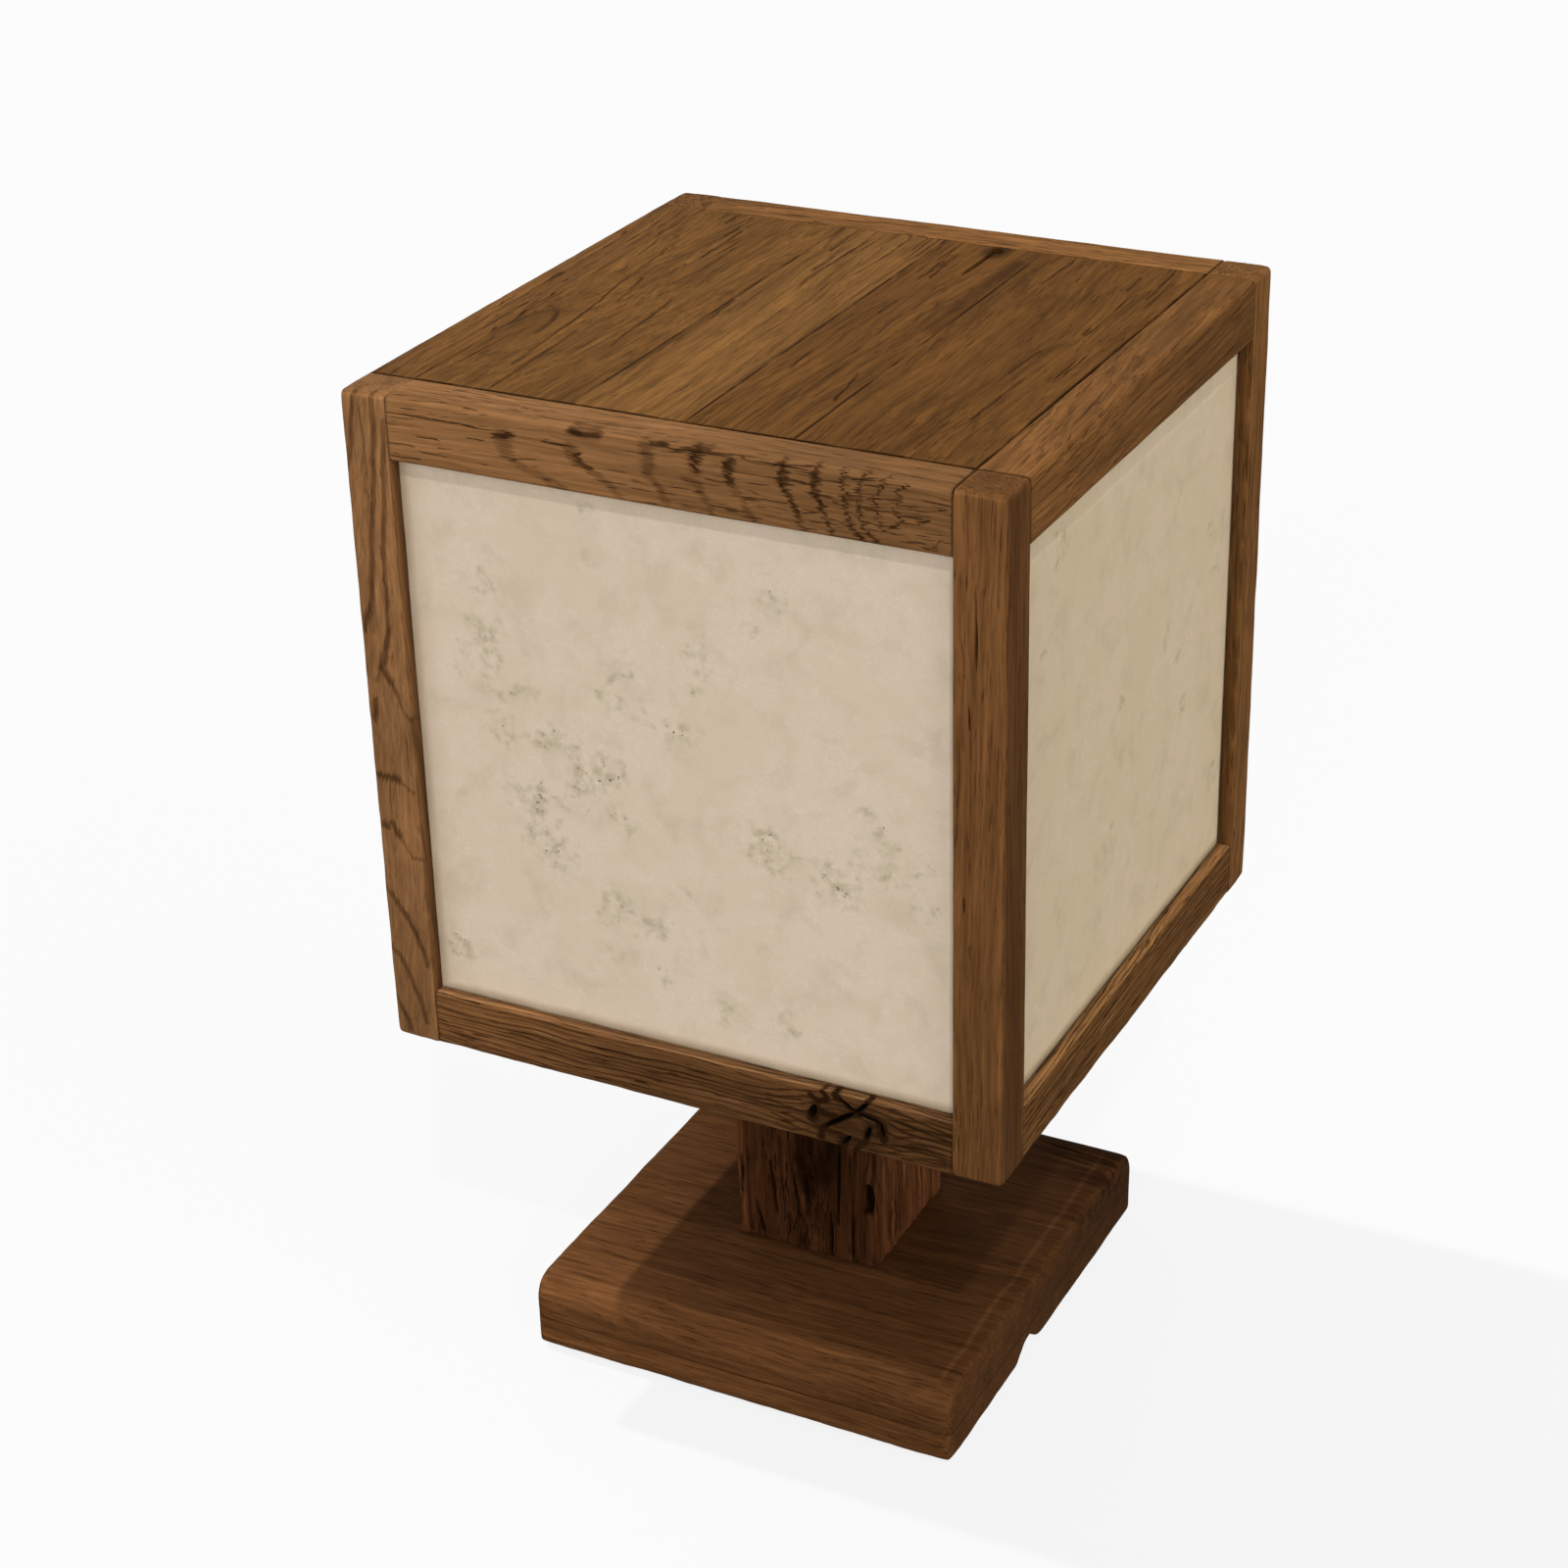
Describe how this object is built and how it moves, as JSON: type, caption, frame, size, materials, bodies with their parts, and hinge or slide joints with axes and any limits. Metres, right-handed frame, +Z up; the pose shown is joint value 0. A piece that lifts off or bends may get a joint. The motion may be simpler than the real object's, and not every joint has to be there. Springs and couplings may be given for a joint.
{
  "type": "table lamp",
  "caption": "Square table lamp: a wooden lantern frame with parchment panels and a planked lid, on a short square post and a thick slab base.",
  "frame": {"origin": "on the table, under the centre of the base, which is the middle of the part's box", "axes": "+Z up, the front panel faces -Y, +X to the right of someone facing the front"},
  "size_m": [0.3, 0.3, 0.5],
  "materials": {
    "oak": "oiled, worn reclaimed oak",
    "parchment": "translucent, matt, with faint specks",
    "felt": "pressed felt",
    "steel": "zinc plated",
    "brass": "bright",
    "black_plastic": "moulded, satin",
    "ceramic_core": "unglazed",
    "bulb_glass": "clear",
    "cap_insulator": "glossy",
    "filament": "phosphor coated"
  },
  "bodies": {
    "lamp": {"base_screws": "steel", "base_slab": "oak", "bead_back_bottom": "oak", "bead_back_left": "oak", "bead_back_right": "oak", "bead_back_top": "oak", "bead_front_bottom": "oak", "bead_front_left": "oak", "bead_front_right": "oak", "bead_front_top": "oak", "bead_left_bottom": "oak", "bead_left_left": "oak", "bead_left_right": "oak", "bead_left_top": "oak", "bead_right_bottom": "oak", "bead_right_left": "oak", "bead_right_right": "oak", "bead_right_top": "oak", "bearer": "oak", "bearer_screws": "steel", "bottom_rail_back": "oak", "bottom_rail_front": "oak", "bottom_rail_left": "oak", "bottom_rail_right": "oak", "contact_spring": "steel", "felt_pads": "felt", "holder_cap": "black_plastic", "holder_core": "ceramic_core", "holder_sleeve": "black_plastic", "lid_board_1": "oak", "lid_board_2": "oak", "lid_board_3": "oak", "lid_board_4": "oak", "lock_nut": "steel", "panel_back": "parchment", "panel_front": "parchment", "panel_left": "parchment", "panel_right": "parchment", "pedestal": "oak", "post_back_left": "oak", "post_back_right": "oak", "post_front_left": "oak", "post_front_right": "oak", "terminal_screws": "brass", "thread_sleeve": "brass", "threaded_tube": "steel", "top_rail_back": "oak", "top_rail_front": "oak", "top_rail_left": "oak", "top_rail_right": "oak", "washer": "steel"},
    "contact": {"centre_contact": "brass"},
    "bulb": {"bulb_cap": "brass", "bulb_filaments": "filament", "bulb_foot_contact": "brass", "bulb_glass": "bulb_glass", "bulb_insulator": "cap_insulator", "bulb_stem": "bulb_glass"}
  },
  "joints": [
    {"name": "contact_rise", "type": "slide", "parent": "lamp", "child": "contact", "axis": [0, 0, 1], "range_m": [0, 0.002], "deforming": ["contact_spring"]},
    {"name": "bulb_turn", "type": "hinge", "parent": "contact", "child": "bulb", "pos_m": [0, 0, 0.3], "axis": [0, 0, 1], "range_deg": [0, 198.5]}
  ],
  "couplings": [
    {"joint": "bulb_turn", "follows": "contact_rise", "rad_per_m": 1731.6}
  ]
}
